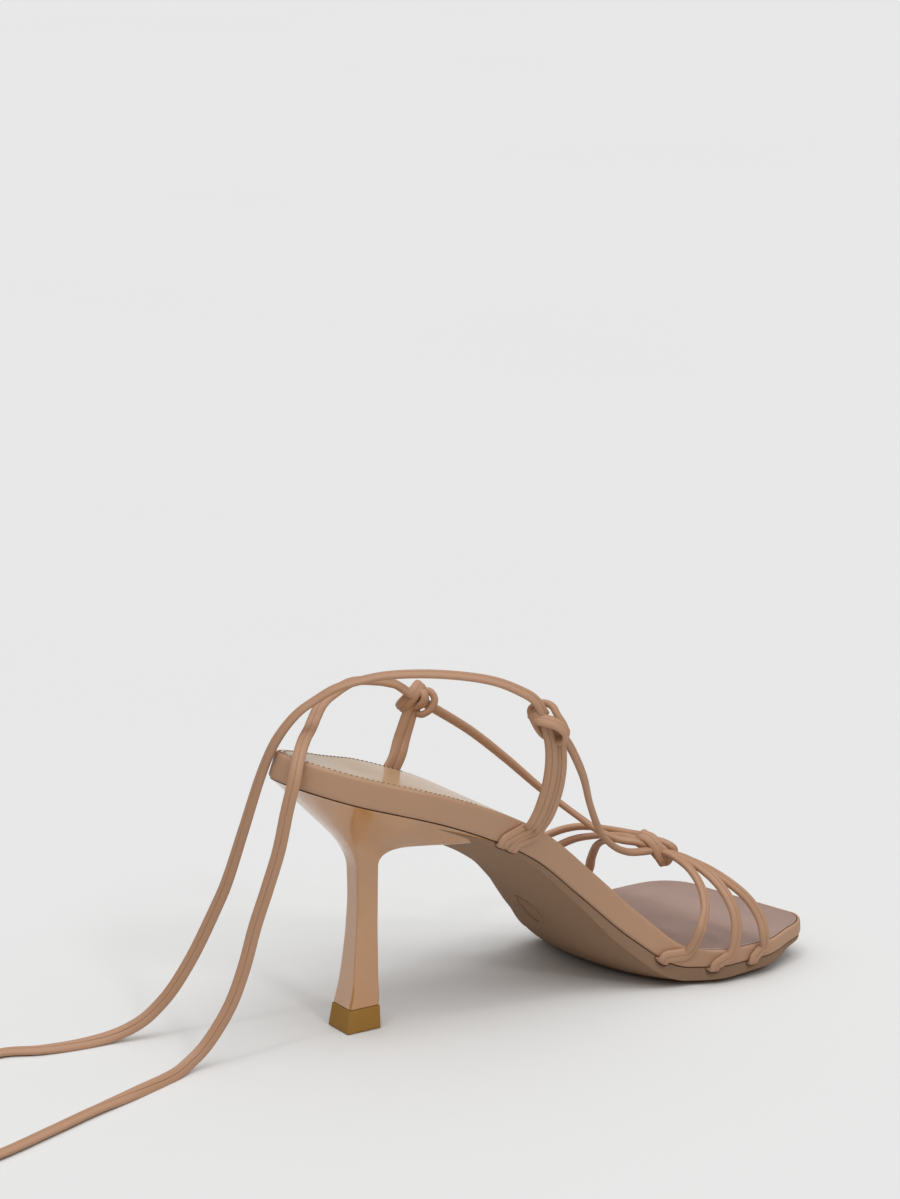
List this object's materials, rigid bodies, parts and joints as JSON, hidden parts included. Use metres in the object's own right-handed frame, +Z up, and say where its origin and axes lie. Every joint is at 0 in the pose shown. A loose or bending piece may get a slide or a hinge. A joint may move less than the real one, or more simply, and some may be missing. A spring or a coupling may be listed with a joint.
{
  "type": "lace-up stiletto sandal",
  "caption": "Left lace-up stiletto sandal with thin knotted tubular straps, a square toe, a slim covered heel and long ankle ties.",
  "frame": {"origin": "on the floor, at the middle of the heel's top lift, where the shoe stands", "axes": "+Y along the foot from heel to toe, +Z up, +X to the medial side of this left shoe"},
  "size_m": [0.1332, 0.384, 0.1266],
  "materials": {
    "patent_strap": "nude patent, high gloss",
    "patent_wrap": "nude patent, high gloss",
    "sock_lining": "smooth, pale beige, satin",
    "outsole_rubber": "moulded, tan brown, semi matt",
    "lift_rubber": "ochre, satin"
  },
  "bodies": {
    "root": {"upper": "patent_strap", "tie_medial": "patent_strap", "tie_lateral": "patent_strap", "tie_medial_coil": "patent_strap", "tie_lateral_coil": "patent_strap", "footbed": "patent_wrap", "heel": "patent_wrap", "insole_sock": "sock_lining", "outsole": "outsole_rubber", "heel_top_lift": "lift_rubber"}
  },
  "joints": []
}
